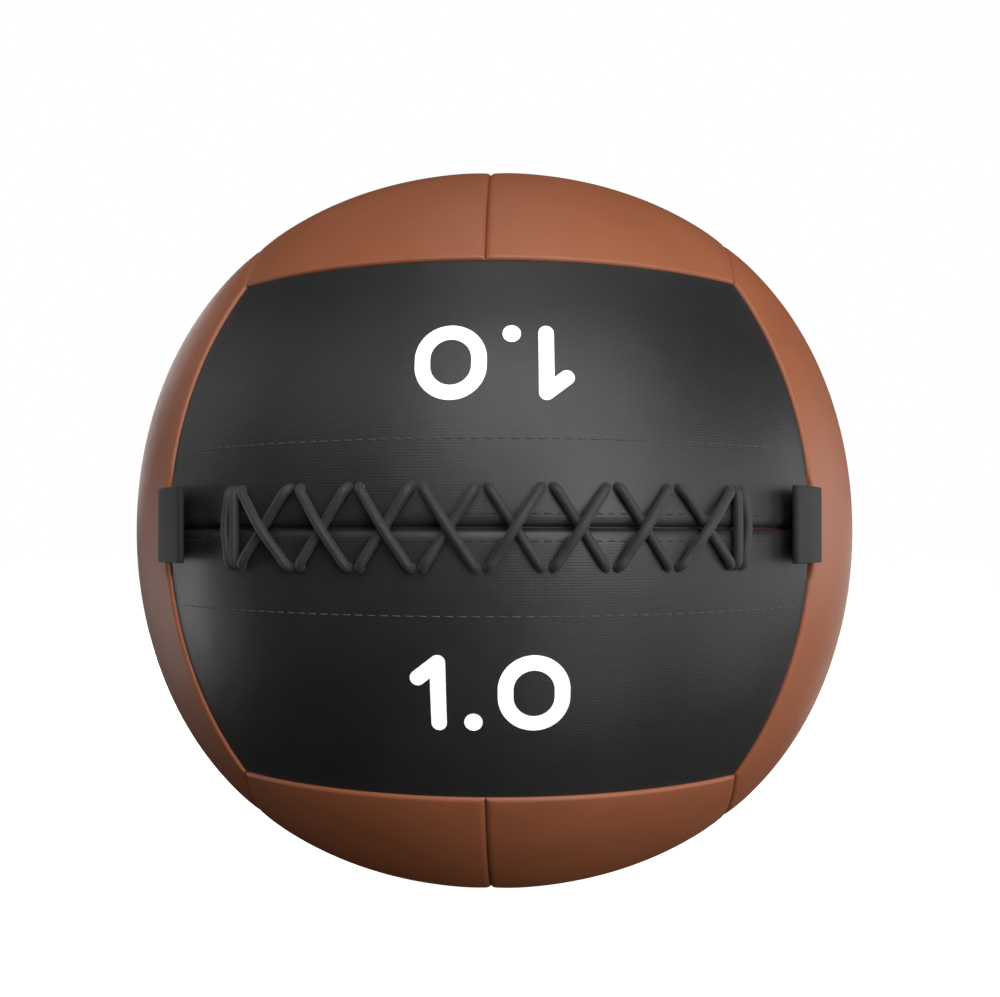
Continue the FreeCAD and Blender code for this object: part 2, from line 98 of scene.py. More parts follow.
LACE_RADIUS = 1.7 * MM
LACE_PITCH = 22.1 * MM  # from column to column
LACE_RISE = 14.0 * MM  # from the slit to the holes
LACE_PAIR = 1.95 * MM  # half the distance between two cords at one column
LACE_BEND = 2.8 * MM  # radius of the turn into a hole
LACE_LOW = 175.1 * MM  # radius of the cord's axis at the holes
LACE_SAG = -0.8 * MM  # of a pass that goes under another
LACE_LIFT = 2.5 * MM  # of a pass that goes over another
LACE_TAIL = 9.5 * MM  # behind the cover, past the first and the last hole
END_STEP = 1.9 * MM  # the outermost slanting passes lean over the bars by this much
BAR_BOW = 1.2 * MM  # the outer bars bow away from the inner ones by this much
FALLING_INSIDE = 166.4 * MM  # radius of the cords' axes behind the cover
RISING_INSIDE = 162.2 * MM
COLUMNS = range(-4, 5)  # of holes, counted from the middle

FACING_ROW = 30 * MM  # from the slit to the rows of stitches
HEM_ROW = 4.6 * MM
ROW_MARGIN = 6 * MM  # from the end of a row to the seam

# ---------------------------------------------------------------- finishes


class Finish:
    """A material under construction: each method adds nodes and returns their output."""

    def __init__(self, name, **constants):
        self.material = bpy.data.materials.new(name)
        self.material.use_nodes = True
        self.tree = self.material.node_tree
        self.shader = self.tree.nodes["Principled BSDF"]
        for socket, value in constants.items():
            self.shader.inputs[socket.replace("_", " ")].default_value = value

    def add(self, kind, settings=(), output=0, **inputs):
        node = self.tree.nodes.new(f"ShaderNode{kind}")
        for setting, value in dict(settings).items():
            setattr(node, setting, value)
        for socket, value in inputs.items():
            self.feed(node.inputs[socket.replace("_", " ")], value)
        return node.outputs[output]

    def feed(self, socket, value):
        if isinstance(value, bpy.types.NodeSocket):
            self.tree.links.new(value, socket)
        else:
            socket.default_value = value

    def math(self, operation, *values):
        output = self.add("Math", {"operation": operation})
        for socket, value in zip(output.node.inputs, values):
            self.feed(socket, value)
        return output

    def place(self, which="Object"):
        """Object coordinates in metres, or the piece's own UV coordinates, also in metres."""
        return self.add("TexCoord").node.outputs[which]

    def axes(self, place):
        node = self.add("SeparateXYZ", Vector=place).node
        return list(node.outputs)

    def noise(self, place, size, detail=3.0, roughness=0.5):
        """Smooth noise from 0 to 1 whose features are about size metres across."""
        return self.add("TexNoise", Vector=place, Scale=1 / size, Detail=detail, Roughness=roughness)

    def ribs(self, distance, pitch, shift=0.0):
        """Rounded ribs from 0 to 1, one every pitch metres."""
        turns = self.math("MULTIPLY_ADD", distance, math.pi / pitch, shift)
        return self.math("ABSOLUTE", self.math("SINE", turns))

    def spread(self, value, low, high, start=0.0, stop=1.0):
        names = {"From_Min": start, "From_Max": stop, "To_Min": low, "To_Max": high}
        return self.add("MapRange", Value=value, **names)

    def shades(self, share, first, second):
        output = self.add("Mix", {"data_type": "RGBA"}, output=2)
        inputs = output.node.inputs
        for socket, value in zip((inputs[0], inputs[6], inputs[7]), (share, first, second)):
            self.feed(socket, value)
        return output

    def bump(self, height, depth, before=None):
        """Relief: height runs from 0 to 1 and stands for depth metres."""
        output = self.add("Bump", Height=height, Distance=depth, Strength=1.0)
        if before is not None:
            self.feed(output.node.inputs["Normal"], before)
        return output

    def finish(self, **links):
        for socket, value in links.items():
            self.feed(self.shader.inputs[socket.replace("_", " ")], value)
        return self.material


def rgb(red, green, blue):
    return (red, green, blue, 1.0)


X_AXIS, Y_AXIS, Z_AXIS = 0, 1, 2
WEAVE_PITCH = 1.0 * MM


def weave(finish, first, second, place, pitch):
    """A plain weave of two sets of threads, with some threads thicker than others."""
    uneven = finish.noise(place, 12 * pitch, detail=2.0)
    warp = finish.ribs(first, pitch)
    weft = finish.ribs(second, pitch, math.pi / 2)
    threads = finish.math("ADD", finish.math("MULTIPLY", warp, 0.68), finish.math("MULTIPLY", weft, 0.32))
    return finish.math("MULTIPLY", threads, finish.spread(uneven, 0.45, 1.25, 0.25, 0.75))


def coated_fabric(name, dark, light, roughness, threads, weave_depth=0.04 * MM):
    """Coated fabric: fine grain, a slightly uneven gloss, and threads along two axes that show through."""
    finish = Finish(name, Specular_IOR_Level=0.5, IOR=1.5)
    place = finish.place()
    axes = finish.axes(place)
    cloth = weave(finish, axes[threads[0]], axes[threads[1]], place, WEAVE_PITCH)
    grain = finish.noise(place, 0.45 * MM, detail=4.0, roughness=0.6)
    waves = finish.noise(place, 22 * MM, detail=2.0)
    patches = finish.noise(place, 55 * MM, detail=4.0)
    shade = finish.math("ADD", finish.math("MULTIPLY", patches, 0.7), finish.math("MULTIPLY", cloth, 0.3))
    gloss = finish.math("ADD", patches, finish.math("MULTIPLY", grain, 0.5))
    relief = finish.bump(waves, 0.35 * MM)
    relief = finish.bump(cloth, weave_depth, relief)
    relief = finish.bump(grain, 0.012 * MM, relief)
    return finish.finish(
        Base_Color=finish.shades(finish.spread(shade, 0, 1, 0.3, 0.7), dark, light),
        Roughness=finish.spread(gloss, roughness - 0.05, roughness + 0.07, 0.5, 1.0),
        Normal=relief,
    )


def woven_strap(name, dark, light, roughness, pitch, depth, place="UV"):
    """Webbing or tape: ribs across, threads along, and a little fuzz."""
    finish = Finish(name, Specular_IOR_Level=0.2, Sheen_Weight=0.05, Sheen_Roughness=0.5)
    spot = finish.place(place)
    axes = finish.axes(spot)
    cloth = weave(finish, axes[0], axes[1], spot, pitch)
    fuzz = finish.noise(spot, 0.3 * MM, detail=4.0)
    shade = finish.math("ADD", finish.math("MULTIPLY", cloth, 0.6), finish.math("MULTIPLY", fuzz, 0.4))
    relief = finish.bump(cloth, depth)
    relief = finish.bump(fuzz, 0.03 * MM, relief)
    return finish.finish(
        Base_Color=finish.shades(shade, dark, light),
        Roughness=finish.spread(fuzz, roughness - 0.06, roughness + 0.06),
        Normal=relief,
    )


def braided_cord(name, dark, light):
    """Round braid: two sets of strands wind the cord in opposite directions."""
    finish = Finish(name, Specular_IOR_Level=0.35, Sheen_Weight=0.12, Sheen_Roughness=0.5)
    spot = finish.place("UV")
    along, around, _ = finish.axes(spot)
    lean_one = finish.math("ADD", along, around)
    lean_two = finish.math("SUBTRACT", along, around)
    pitch = math.tau * LACE_RADIUS / 8
    strands = finish.math("MAXIMUM", finish.ribs(lean_one, pitch), finish.ribs(lean_two, pitch))
    fuzz = finish.noise(finish.place(), 0.5 * MM, detail=4.0)
    shade = finish.math("ADD", finish.math("MULTIPLY", strands, 0.5), finish.math("MULTIPLY", fuzz, 0.5))
    relief = finish.bump(strands, 0.09 * MM)
    relief = finish.bump(fuzz, 0.04 * MM, relief)
    return finish.finish(
        Base_Color=finish.shades(shade, dark, light),
        Roughness=finish.spread(fuzz, 0.5, 0.66),
        Normal=relief,
    )


def glowing_print_film(name, tone):
    # The print glows a little, as painted light, so it looks brighter than the lamps alone make it.
    finish = Finish(name, Specular_IOR_Level=0.3, Emission_Color=tone, Emission_Strength=0.55)
    place = finish.place()
    axes = finish.axes(place)
    cloth = weave(finish, axes[Z_AXIS], axes[X_AXIS], place, WEAVE_PITCH)
    speckle = finish.noise(place, 1.5 * MM, detail=5.0)
    worn = (tone[0] * 0.93, tone[1] * 0.93, tone[2] * 0.92, 1.0)
    return finish.finish(
        Base_Color=finish.shades(speckle, worn, tone),
        Roughness=finish.spread(speckle, 0.5, 0.65),
        Normal=finish.bump(cloth, 0.02 * MM),
    )


def loose_matter(name, dark, light, size, depth):
    """Foam, shredded textile or granules, which the cover hides."""
    finish = Finish(name, Specular_IOR_Level=0.3)
    place = finish.place()
    cells = finish.add("TexVoronoi", Vector=place, Scale=1 / size)
    speckle = finish.noise(place, size / 2, detail=4.0)
    return finish.finish(
        Base_Color=finish.shades(speckle, dark, light),
        Roughness=finish.spread(speckle, 0.75, 0.95),
        Normal=finish.bump(cells, depth),
    )


DARK_CLOTH, GREY_CLOTH = rgb(0.016, 0.016, 0.0165), rgb(0.029, 0.029, 0.03)
DARK_WEBBING, GREY_WEBBING = rgb(0.012, 0.012, 0.0125), rgb(0.024, 0.024, 0.0245)
DARK_THREAD, GREY_THREAD = rgb(0.05, 0.048, 0.048), rgb(0.09, 0.086, 0.085)
DARK_HEM_THREAD, RED_HEM_THREAD = rgb(0.022, 0.014, 0.013), rgb(0.036, 0.023, 0.022)
BLACK_COAT = (rgb(0.0125, 0.0125, 0.013), rgb(0.0155, 0.0155, 0.016), 0.46)
BROWN_COAT = (rgb(0.255, 0.078, 0.031), rgb(0.3, 0.093, 0.038), 0.52)
FINISHES = {
    "black_cover": coated_fabric("black_coated_fabric", *BLACK_COAT, (Z_AXIS, X_AXIS)),
    "brown_cap": coated_fabric("brown_coated_fabric", *BROWN_COAT, (Y_AXIS, X_AXIS), weave_depth=0.012 * MM),
    "brown_cover": coated_fabric("brown_side_fabric", *BROWN_COAT, (Z_AXIS, Y_AXIS), weave_depth=0.035 * MM),
    "lace_cord": braided_cord("braided_cord", DARK_CLOTH, GREY_CLOTH),
    "webbing": woven_strap("webbing", DARK_WEBBING, GREY_WEBBING, 0.66, 0.9 * MM, 0.05 * MM),
    "stitching": woven_strap("thread", DARK_THREAD, GREY_THREAD, 0.6, 0.5 * MM, 0.05 * MM),
    "hem_thread": woven_strap("hem_thread", DARK_HEM_THREAD, RED_HEM_THREAD, 0.6, 0.5 * MM, 0.05 * MM),
    "facing_tape": woven_strap("facing_tape", DARK_CLOTH, GREY_CLOTH, 0.7, 0.8 * MM, 0.05 * MM, "Object"),
    "closure_strip": coated_fabric(
        "red_brown_strip", rgb(0.075, 0.02, 0.017), rgb(0.11, 0.032, 0.028), 0.6, (Z_AXIS, X_AXIS)
    ),
    # white print, which glows with painted light
    "mark_film": glowing_print_film("white_print_painted_glow", rgb(0.88, 0.88, 0.88)),
    "foam": loose_matter("foam", rgb(0.5, 0.5, 0.45), rgb(0.62, 0.62, 0.56), 1.5 * MM, 0.2 * MM),
    "liner_cloth": woven_strap(
        "liner_cloth", rgb(0.32, 0.32, 0.3), rgb(0.46, 0.46, 0.43), 0.8, 0.6 * MM, 0.05 * MM, "Object"
    ),
    "textile_fill": loose_matter(
        "textile_shreds", rgb(0.2, 0.2, 0.24), rgb(0.5, 0.45, 0.42), 6 * MM, 1.5 * MM
    ),
    "granules": loose_matter("granules", rgb(0.2, 0.18, 0.16), rgb(0.36, 0.33, 0.3), 3 * MM, 1.0 * MM),
    "canvas": woven_strap(
        "canvas", rgb(0.4, 0.35, 0.27), rgb(0.56, 0.5, 0.4), 0.8, 0.9 * MM, 0.1 * MM, "Object"
    ),
}

for row in frame["record"]["subparts"]:
    node = frame["nodes"][row["node"]]
    node.data.materials.clear()
    node.data.materials.append(FINISHES[row["material_slot"]])

# ---------------------------------------------------------------- meshes


def new_piece(name, points, faces, slot, finish=None, uv=None):
    """A mesh object with smooth shading. uv has one place for each corner of each face, in order."""
    mesh = bpy.data.meshes.new(name)
    mesh.from_pydata([tuple(point) for point in points], [], faces)
    mesh.polygons.foreach_set("use_smooth", [True] * len(mesh.polygons))
    if uv is not None:
        layer = mesh.uv_layers.new(name="threads")
        layer.data.foreach_set("uv", np.asarray(uv, np.float32).ravel())
    mesh.materials.append(FINISHES[finish or slot])
    mesh.update()
    piece = bpy.data.objects.new(name, mesh)
    bpy.context.scene.collection.objects.link(piece)
    return piece


def grid_faces(rows, columns, start=0, closed=False):
    """Quads between the points of a grid, stored row by row. Closed grids join last column to first."""
    faces = []
    for row in range(rows - 1):
        for column in range(columns if closed else columns - 1):
            here, there = start + row * columns, start + (row + 1) * columns
            after = (column + 1) % columns
            faces.append((here + column, here + after, there + after, there + column))
    return faces


# ---------------------------------------------------------------- cover panels


def heading(azimuth, elevation):
    """Unit directions from the ball's centre."""
    flat = np.cos(elevation)
    return np.stack([np.sin(azimuth) * flat, -np.cos(azimuth) * flat, np.sin(elevation)], -1)


def level_seam(azimuth):
    """Elevation of the seam above the front or the rear face."""
    fall = SEAM_FALL * np.abs(np.cos(azimuth))
    return np.arcsin((1 + SEAM_FALL) / math.sqrt(3) / np.sqrt(1 + fall**2)) - np.arctan(fall)


def side_seam(azimuth):
    """Elevation of the seam between the top and a side face."""
    out = np.abs(np.sin(azimuth))
    tilt = np.arctan(SEAM_LEAN / out)
    return np.arccos((1 - SEAM_LEAN) / math.sqrt(3) / np.hypot(out, SEAM_LEAN)) - tilt


def front_side_seam(elevation):
    """Azimuth of the seam between the front and a side face, which bows outwards at the slit."""
    corner = 1 / math.sqrt(3)
    bow = (math.sin(SEAM_HEADING) - corner) / (math.cos(SEAM_HEADING) - corner)
    return np.arctan(bow) + np.arcsin((1 - bow) * corner / np.cos(elevation) / math.hypot(1, bow))


def along(start, stop, elevation):
    """A boundary from azimuth start to stop, with an elevation for each azimuth."""
    return lambda t: heading(start + (stop - start) * t, elevation(start + (stop - start) * t))


def upright(low, high, azimuth):
    """A boundary from elevation low to high, with an azimuth for each elevation."""
    return lambda t: heading(azimuth(low + (high - low) * t), low + (high - low) * t)


def constant(angle):
    return lambda other: angle + 0 * other


EIGHTH = math.radians(45)
TOP_FRONT = float(level_seam(0.0))
CORNER = float(level_seam(EIGHTH))
SIDE_TOP = float(side_seam(2 * EIGHTH))
SLIT_EDGE = math.asin((SLIT - SEAM_GAP) / BLACK)


def over_the_top(t):
    """The middle seam of the top face, from the front to the rear."""
    turn = TOP_FRONT + (math.pi - 2 * TOP_FRONT) * t
    return np.stack([0 * turn, -np.cos(turn), np.sin(turn)], -1)


def front_half(lowest):
    """Boundaries of the upper half of the front face: south, north, west and east."""
    side = float(front_side_seam(lowest))
    return (
        along(-side, side, constant(lowest)),
        along(-EIGHTH, EIGHTH, level_seam),
        upright(lowest, CORNER, lambda elevation: -front_side_seam(elevation)),
        upright(lowest, CORNER, front_side_seam),
    )


TOP_HALF = (
    along(0, EIGHTH, level_seam),
    along(4 * EIGHTH, 3 * EIGHTH, level_seam),
    over_the_top,
    along(EIGHTH, 3 * EIGHTH, side_seam),
)
SIDE_QUARTER = (
    along(EIGHTH, 2 * EIGHTH, lambda azimuth: -side_seam(azimuth)),
    along(EIGHTH, 2 * EIGHTH, side_seam),
    upright(-CORNER, CORNER, front_side_seam),
    upright(-SIDE_TOP, SIDE_TOP, constant(2 * EIGHTH)),
)


def patch(bounds, u, v):
    """Directions inside four boundaries, which meet at their ends."""
    south, north, west, east = bounds
    across, up = u[..., None], v[..., None]
    zero, one = np.zeros(1), np.ones(1)
    sides = (1 - up) * south(u) + up * north(u) + (1 - across) * west(v) + across * east(v)
    corners = (1 - across) * ((1 - up) * south(zero) + up * north(zero))
    corners = corners + across * ((1 - up) * south(one) + up * north(one))
    points = sides - corners
    return points / np.linalg.norm(points, axis=-1, keepdims=True)


def shares(length):
    """Rows for a panel of that length, close together at both edges."""
    edge = (SEAM_GAP + EDGE_ROWS) / length
    count = round((1 - 2 * edge[-1]) * length / ROW_SPACING)
    middle = np.linspace(edge[-1], 1 - edge[-1], count + 1)
    return np.concatenate([edge[:-1], middle, (1 - edge[:-1])[::-1]])


def rounded(distance, lip):
    """How far a rounded edge lies below the panel, at a distance from the edge."""
    width, depth = lip
    rest = 1 - np.clip(distance / width, 0, 1)
    return depth * (1 - np.sqrt(1 - rest**2))


def crowned(distance, crown):
    width, depth = crown
    return depth * (1 - np.clip(distance / width, 0, 1)) ** 2


ROOM_REACH = TAB_WIDTH / 2 + TAB_RISE + 4 * MM  # height at which the room for the webbing ends
ROOM_FADE = 2 * MM
ROOM_DEPTH = 4 * MM  # distance over which the rows of the panel give way


def make_room(u, bounds, v, length, sides):
    """Move the edge of a panel aside, at either end of the slit, for the webbing in the seam."""
    height = patch(bounds, u, v)[..., 2] * BROWN
    beside = np.clip((ROOM_REACH - np.abs(height)) / ROOM_FADE, 0, 1)
    room = beside * (TAB_PLY - SEAM_GAP) / length
    for side in sides:
        distance = u if side < 0 else 1 - u
        u = u - side * room * np.exp(-distance * length / ROOM_DEPTH)
    return u


def panel_points(bounds, radius, lips, crown, room_sides=(), channel=False):
    """The outer and the inner surface of a panel, as two grids of points."""
    half = np.full(1, 0.5)
    probe = np.linspace(0, 1, 30)
    middle_row = patch(bounds, probe, half + 0 * probe)
    middle_column = patch(bounds, half + 0 * probe, probe)
    width, height = (
        radius * np.linalg.norm(np.diff(line, axis=0), axis=1).sum() for line in (middle_row, middle_column)
    )
    u, v = np.meshgrid(shares(width), shares(height))
    u = make_room(u, bounds, v, width, room_sides)
    direction = patch(bounds, u, v)
    steps_u = radius * np.linalg.norm(np.diff(direction, axis=1), axis=2)
    steps_v = radius * np.linalg.norm(np.diff(direction, axis=0), axis=2)
    from_west = np.pad(np.cumsum(steps_u, axis=1), ((0, 0), (1, 0)))
    from_south = np.pad(np.cumsum(steps_v, axis=0), ((1, 0), (0, 0)))
    distances = (from_south, from_south[-1:] - from_south, from_west, from_west[:, -1:] - from_west)
    drop = np.sqrt(sum(rounded(distance, lip) ** 2 for distance, lip in zip(distances, lips)))
    drop = np.minimum(drop, max(depth for _, depth in lips))
    nearest = np.minimum.reduce(distances[1:] if channel else distances)
    drop = drop + crowned(nearest, crown)
    sideways = 1 - direction[..., 1] ** 2
    bulge = SQUARENESS * 4 * direction[..., 0] ** 2 * direction[..., 2] ** 2 * sideways**BULGE_TAPER
    outside = radius * (1 + bulge) - drop
    inside = np.full_like(outside, PAD_INSIDE)
    if channel:
        unpadded = np.abs(direction[..., 2]) * radius < CHANNEL
        inside = np.where(unpadded, np.minimum(radius - SKIN, outside - 0.1 * MM), inside)
    return direction * outside[..., None], direction * inside[..., None]


def mirrored(points, signs):
    return points * np.array(signs, float)


def cover_panel(name, surfaces, signs, slot, finish=None):
    """A closed padded panel, mirrored from its master."""
    outer, inner = (mirrored(surface, signs) for surface in surfaces)
    rows, columns = outer.shape[:2]
    count = rows * columns
    points = np.concatenate([outer.reshape(-1, 3), inner.reshape(-1, 3)])
    faces = grid_faces(rows, columns)
    faces += [tuple(reversed([corner + count for corner in face])) for face in faces]
    rim = list(range(columns))
    rim += [row * columns + columns - 1 for row in range(1, rows)]
    rim += [(rows - 1) * columns + column for column in reversed(range(columns - 1))]
    rim += [row * columns for row in reversed(range(1, rows - 1))]
    for here, there in zip(rim, rim[1:] + rim[:1]):
        faces.append((there, here, here + count, there + count))
    if signs[0] * signs[1] * signs[2] > 0:
        faces = [tuple(reversed(face)) for face in faces]
    piece = new_piece(f"{name}_cover", points, faces, slot, finish)
    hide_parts(f"{name}_panel", f"{name}_pad")
    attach(piece, "ball")
    return piece


SLIT_LIPS = (SLIT_LIP, BLACK_LIP, BLACK_LIP, BLACK_LIP)
REAR_LIPS = (SEWN_LIP, BLACK_LIP, BLACK_LIP, BLACK_LIP)
TOP_LIPS = (BROWN_LIP, BROWN_LIP, SEWN_LIP, SEWN_LIP)
SIDE_LIPS = (SEWN_LIP, SEWN_LIP, BROWN_LIP, SEWN_LIP)
WITH_SLIT = panel_points(front_half(SLIT_EDGE), BLACK, SLIT_LIPS, BLACK_CROWN, (-1, 1), channel=True)
PLAIN_HALF = panel_points(front_half(0.0), BLACK, REAR_LIPS, BLACK_CROWN)
TOP_PIECE = panel_points(TOP_HALF, BROWN, TOP_LIPS, BROWN_CROWN)
SIDE_BY_TAB = panel_points(SIDE_QUARTER, BROWN, SIDE_LIPS, BROWN_CROWN, (-1,))
SIDE_PIECE = panel_points(SIDE_QUARTER, BROWN, SIDE_LIPS, BROWN_CROWN)

PANELS = [
    ("front_upper", WITH_SLIT, (1, 1, 1), "black_cover"),
    ("front_lower", WITH_SLIT, (1, 1, -1), "black_cover"),
    ("rear_upper", PLAIN_HALF, (1, -1, 1), "black_cover"),
    ("rear_lower", PLAIN_HALF, (1, -1, -1), "black_cover"),
    ("top_left", TOP_PIECE, (-1, 1, 1), "brown_cover"),
    ("top_right", TOP_PIECE, (1, 1, 1), "brown_cover"),
    ("bottom_left", TOP_PIECE, (-1, 1, -1), "brown_cover"),
    ("bottom_right", TOP_PIECE, (1, 1, -1), "brown_cover"),
    ("left_front", SIDE_BY_TAB, (-1, 1, 1), "brown_cover"),
    ("left_rear", SIDE_PIECE, (-1, -1, 1), "brown_cover"),
    ("right_front", SIDE_BY_TAB, (1, 1, 1), "brown_cover"),
    ("right_rear", SIDE_PIECE, (1, -1, 1), "brown_cover"),
]
for name, surfaces, signs, slot in PANELS:
    finish = "brown_cap" if name.startswith(("top", "bottom")) else slot
    cover_panel(name, surfaces, signs, slot, finish)

# ---------------------------------------------------------------- cords and threads


def unit(vector):
    return vector / np.linalg.norm(vector)


def corners_of(start, stop, near, far):
    """Thread coordinates of one quad of a grid."""
    return [(start, near), (start, far), (stop, far), (stop, near)]


def tube(path, radii, sides):
    """Points, faces and thread coordinates of a closed round tube along a path, without twist."""
    path = np.asarray(path, float)
    tangents = np.gradient(path, axis=0)
    tangents /= np.linalg.norm(tangents, axis=1, keepdims=True)
    side = unit(np.cross(tangents[0], (0.31, 0.17, 0.93)))
    lengths = np.concatenate([[0], np.cumsum(np.linalg.norm(np.diff(path, axis=0), axis=1))])
    turns = np.arange(sides) * math.tau / sides
    points = []
    for place, tangent, radius in zip(path, tangents, radii):
        side = unit(side - tangent * np.dot(side, tangent))
        other = np.cross(tangent, side)
        points += [place + radius * (math.cos(turn) * side + math.sin(turn) * other) for turn in turns]
    rows = len(path)
    faces = grid_faces(rows, sides, closed=True)
    uv = []
    for row in range(rows - 1):
        for column in range(sides):
            near, far = (max(radii) * math.tau * corner / sides for corner in (column, column + 1))
            uv += corners_of(lengths[row], lengths[row + 1], near, far)
    first_end = tuple(reversed(range(sides)))
    last_end = tuple((rows - 1) * sides + turn for turn in range(sides))
    for row, face in ((0, first_end), (-1, last_end)):
        faces.append(face)
        uv += [(lengths[row], 0.0)] * sides
    return points, faces, uv


def on_front(x, z, radius):
    """The point at a radius under the place on the front where a cord lies at x and z."""
    return np.array([x, -math.sqrt(LACE_LOW**2 - x**2 - z**2), z]) * (radius / LACE_LOW)


def bezier(points, step):
    """Even points on a smooth line through places with directions and handle lengths, before and after."""
    line = [points[0][0]]
    for (start, heading_out, *reach_out), (stop, heading_in, reach_in, *_) in zip(points, points[1:]):
        first, second = start + heading_out * reach_out[-1], stop - heading_in * reach_in
        count = max(4, round(np.linalg.norm(stop - start) / step))
        for share in np.linspace(0, 1, count + 1)[1:]:
            rest = 1 - share
            line.append(
                rest**3 * start + 3 * rest**2 * share * first + 3 * rest * share**2 * second + share**3 * stop
            )
    return line


HANDLE = 0.55  # handle of a quarter turn, as a part of its radius


def bend_in(here, onward, radius, rising):
    """The quarter turn at a hole: places with directions, from the hole's line to the pass or back."""
    x, z = here
    ahead = np.array(onward) - np.array(here)
    ahead = ahead / np.linalg.norm(ahead) * LACE_BEND
    up = unit(on_front(x, z, 1.0))
    step = LACE_BEND if rising else -LACE_BEND
    in_hole = on_front(x, z, radius - step)
    on_pass = on_front(x + ahead[0], z + ahead[1], radius)
    run = unit(on_pass - on_front(x, z, radius))
    return in_hole, on_pass, up, run


def lace_pass(start, stop, radius, outside, lift=0.0, bow=0.0):
    """One pass over or behind the cover, with the bend at either end."""
    first_hole, first_run, up, run = bend_in(start, stop, radius, outside)
    last_hole, last_run, up_last, run_back = bend_in(stop, start, radius, outside)
    way = 1 if outside else -1
    short = HANDLE * LACE_BEND
    span = np.linalg.norm(last_run - first_run)
    x, z = (np.array(start) + np.array(stop)) / 2
    level = radius / (radius + lift)  # keeps the lifted middle in line with both ends, seen from the front
    middle = on_front((x + bow) * level, z * level, radius + lift)
    return [
        (first_hole, way * up, short),
        (first_run, run, short, span / 6),
        (middle, unit(last_run - first_run), span / 5),
        (last_run, -run_back, span / 6, short),
        (last_hole, -way * up_last, short),
    ]


def lace_route(side, inside, bar, bow):
    """The whole route of one lace, from knot to knot, in the order in which it is threaded."""
    first, last = COLUMNS[0] * LACE_PITCH - bar, COLUMNS[-1] * LACE_PITCH + bar
    near, far = -side * LACE_RISE, side * LACE_RISE
    upright_tail = (np.array([0, 0, side], float), LACE_BEND / 2)
    route = [(on_front(first, near - side * LACE_TAIL, inside), *upright_tail)]
    route += lace_pass((first, near), (first, far), LACE_LOW, True, bow=-bow)
    here = (first, far)
    for number in COLUMNS[:-1]:
        first_step = END_STEP if number == COLUMNS[0] else 0
        last_step = END_STEP if number + 1 == COLUMNS[-1] else 0
        start = (number * LACE_PITCH + LACE_PAIR - first_step, near)
        stop = ((number + 1) * LACE_PITCH - LACE_PAIR + last_step, far)
        raised = (number < 0) == (side < 0)
        route += lace_pass(here, start, inside, False)
        route += lace_pass(start, stop, LACE_LOW, True, LACE_LIFT if raised else LACE_SAG)
        here = stop
    route += lace_pass(here, (last, near), inside, False)
    route += lace_pass((last, near), (last, far), LACE_LOW, True, bow=bow)
    route.append((on_front(last, far + side * LACE_TAIL, inside), *upright_tail))
    return route


LACES = [  # name, side of the far holes, radius inside, step out to the bar, bow of the bar
    ("falling", -1, FALLING_INSIDE, LACE_PAIR, 0.0),
    ("rising", 1, RISING_INSIDE, 3 * LACE_PAIR - BAR_BOW, BAR_BOW),
]
for word, side, inside, bar, bow in LACES:
    path = bezier(lace_route(side, inside, bar, bow), 1.0 * MM)
    points, faces, uv = tube(path, [LACE_RADIUS] * len(path), 20)
    lace = new_piece(f"{word}_lace_cord", points, faces, "lace_cord", uv=uv)
    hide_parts(f"{word}_lace")
    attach(lace, "ball")

# ---------------------------------------------------------------- stitching


ROW_REACH = BLACK * SEAM_HEADING - ROW_MARGIN
STITCH = [  # place along half a stitch, depth and thickness as parts of the thread's thickness
    (-1, 0.45, 0.55),
    (-0.8, 0.05, 1),
    (0, -0.1, 1),
    (0.8, 0.05, 1),
    (1, 0.45, 0.55),
]


def stitch_row(name, finish, height, pitch, length, thickness):
    """A row of thread stitches level with the slit, each one dipping into the cover at its ends."""
    points, faces, uv = [], [], []
    row_radius = math.sqrt(BLACK**2 - height**2)
    count = int(2 * ROW_REACH / pitch)
    for number in range(count):
        azimuth = (number - (count - 1) / 2) * pitch / BLACK
        path, radii = [], []
        for share, sink, size in STITCH:
            turn = azimuth + share * length / 2 / BLACK
            spot = np.array([row_radius * math.sin(turn), -row_radius * math.cos(turn), height])
            path.append(spot - unit(spot) * sink * thickness)
            radii.append(size * thickness / 2)
        more, sides, threads = tube(path, radii, 8)
        faces += [tuple(corner + len(points) for corner in face) for face in sides]
        points += more
        uv += threads
    piece = new_piece(name, points, faces, "lace_cord", finish, uv)
    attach(piece, "ball")
    return piece


ROWS = [  # name, finish, distance from the slit, pitch, length and thickness of the stitches
    ("facing", "stitching", FACING_ROW, 4.6 * MM, 3.3 * MM, 0.5 * MM),
    ("hem", "hem_thread", HEM_ROW, 4.4 * MM, 2.6 * MM, 0.36 * MM),
]
for word, sign in (("upper", 1), ("lower", -1)):
    for row, finish, distance, *thread in ROWS:
        stitch_row(f"{word}_{row}_stitches", finish, sign * distance, *thread)

# ---------------------------------------------------------------- pull tabs


def arc(centre, radius, start, stop, count):
    """Points on an arc in the plane of a tab's edge, with angles in degrees."""
    angles = np.radians(np.linspace(start, stop, count))
    return [(centre[0] + radius * math.cos(angle), centre[1] + radius * math.sin(angle)) for angle in angles]


def touching(centre, radius, end, end_radius):
    """Slope of the line that touches two circles, in degrees. A negative radius is touched from below."""
    run, rise = end[0] - centre[0], end[1] - centre[1]
    return math.degrees(math.atan2(rise, run) + math.asin((end_radius - radius) / math.hypot(run, rise)))


